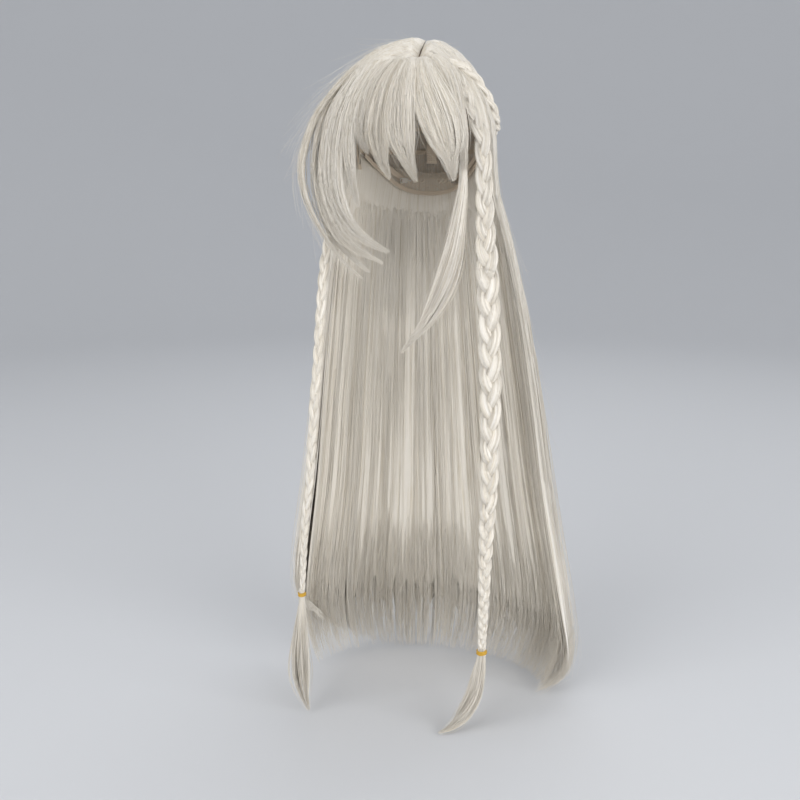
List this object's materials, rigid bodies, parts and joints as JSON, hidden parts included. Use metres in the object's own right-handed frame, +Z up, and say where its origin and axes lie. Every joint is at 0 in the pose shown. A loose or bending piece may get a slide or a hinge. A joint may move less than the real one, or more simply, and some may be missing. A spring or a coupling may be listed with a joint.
{
  "type": "costume wig",
  "caption": "Very long straight costume wig with fringe, side locks, a crown braid and two tied hanging braids on a net cap.",
  "frame": {"origin": "middle of the wearer's head at ear height, inside the cap, where the head holds the wig", "axes": "+Z up towards the crown, -Y towards the face, +X towards the wearer's left"},
  "size_m": [0.3856, 0.2697, 0.835],
  "materials": {
    "hair": "long straight synthetic fibre, pale platinum cream, soft satin sheen",
    "under_hair": "inner layer of the same fibre, in shade",
    "weft": "machine-sewn weft heads",
    "net": "open stretch net",
    "elastic": "woven elastic band",
    "skin": "skin-coloured parting patch",
    "metal": "thin bright sheet and wire",
    "tie": "matt orange-yellow elastic"
  },
  "bodies": {
    "cap": {"cap_net_left": "net", "cap_net_right": "net", "cap_net_back": "net", "parting_patch": "skin", "front_band": "elastic", "nape_band": "elastic", "centre_tape": "elastic", "ear_tab_left": "elastic", "ear_tab_right": "elastic", "ear_stay_left": "metal", "ear_stay_right": "metal", "weft_row_1": "weft", "weft_row_2": "weft", "weft_row_3": "weft", "weft_row_4": "weft", "strap_left": "elastic", "strap_right": "elastic", "hook_loops": "elastic", "crown_left_front": "hair", "crown_left_back": "hair", "crown_right_front": "hair", "crown_right_back": "hair", "crown_braid": "hair", "bang_right_outer": "hair", "bang_right_inner": "hair", "bang_centre": "hair", "bang_left": "hair", "temple_hair_left": "hair", "side_lock_right_1": "hair", "side_lock_right_2": "hair", "side_lock_right_3": "hair", "side_lock_right_4": "hair", "outer_strand_right": "hair", "braid_left_top": "hair", "braid_right_top": "hair"},
    "braid_left_a": {"braid_left_upper": "hair"},
    "braid_left_b": {"braid_left_lower": "hair", "hair_tie_left": "tie", "tail_left": "hair"},
    "braid_right_a": {"braid_right_upper": "hair"},
    "braid_right_b": {"braid_right_lower": "hair", "hair_tie_right": "tie", "tail_right": "hair"},
    "face_lock_a": {"face_lock": "hair"},
    "fall_left": {"fall_left_1": "hair", "fall_left_2": "hair", "under_left": "under_hair"},
    "fall_centre": {"fall_centre_1": "hair", "fall_centre_2": "hair", "fall_centre_3": "hair", "under_centre_1": "under_hair", "under_centre_2": "under_hair"},
    "fall_right": {"fall_right_1": "hair", "fall_right_2": "hair", "under_right": "under_hair"},
    "hook_left_a": {"hook_left": "metal"},
    "hook_right_a": {"hook_right": "metal"}
  },
  "joints": [
    {"name": "braid_left_swing", "type": "hinge", "parent": "cap", "child": "braid_left_a", "pos_m": [0.088, -0.057, -0.039], "axis": [-1, 0, 0], "range_deg": [0, 30]},
    {"name": "braid_left_bend", "type": "hinge", "parent": "braid_left_a", "child": "braid_left_b", "pos_m": [0.101, -0.063, -0.301], "axis": [-1, 0, 0], "range_deg": [0, 35]},
    {"name": "braid_right_swing", "type": "hinge", "parent": "cap", "child": "braid_right_a", "pos_m": [-0.108, -0.042, -0.1385], "axis": [-1, 0, 0], "range_deg": [0, 30]},
    {"name": "braid_right_bend", "type": "hinge", "parent": "braid_right_a", "child": "braid_right_b", "pos_m": [-0.112, -0.0795, -0.3], "axis": [-1, 0, 0], "range_deg": [0, 35]},
    {"name": "face_lock_swing", "type": "hinge", "parent": "cap", "child": "face_lock_a", "pos_m": [0.064, -0.057, -0.0385], "axis": [-1, 0, 0], "range_deg": [0, 25]},
    {"name": "fall_left_swing", "type": "hinge", "parent": "cap", "child": "fall_left", "pos_m": [0.088, 0, -0.026], "axis": [0, -1, 0], "range_deg": [0, 18]},
    {"name": "fall_centre_swing", "type": "hinge", "parent": "cap", "child": "fall_centre", "pos_m": [0, 0.105, -0.026], "axis": [1, 0, 0], "range_deg": [0, 20]},
    {"name": "fall_right_swing", "type": "hinge", "parent": "cap", "child": "fall_right", "pos_m": [-0.088, 0, -0.026], "axis": [0, 1, 0], "range_deg": [0, 18]},
    {"name": "hook_left_slide", "type": "hinge", "parent": "cap", "child": "hook_left_a", "pos_m": [0, 0.0335, -0.042], "axis": [0, 0, 1], "range_deg": [0, 20]},
    {"name": "hook_right_slide", "type": "hinge", "parent": "cap", "child": "hook_right_a", "pos_m": [0, 0.0335, -0.042], "axis": [0, 0, -1], "range_deg": [0, 20]}
  ]
}
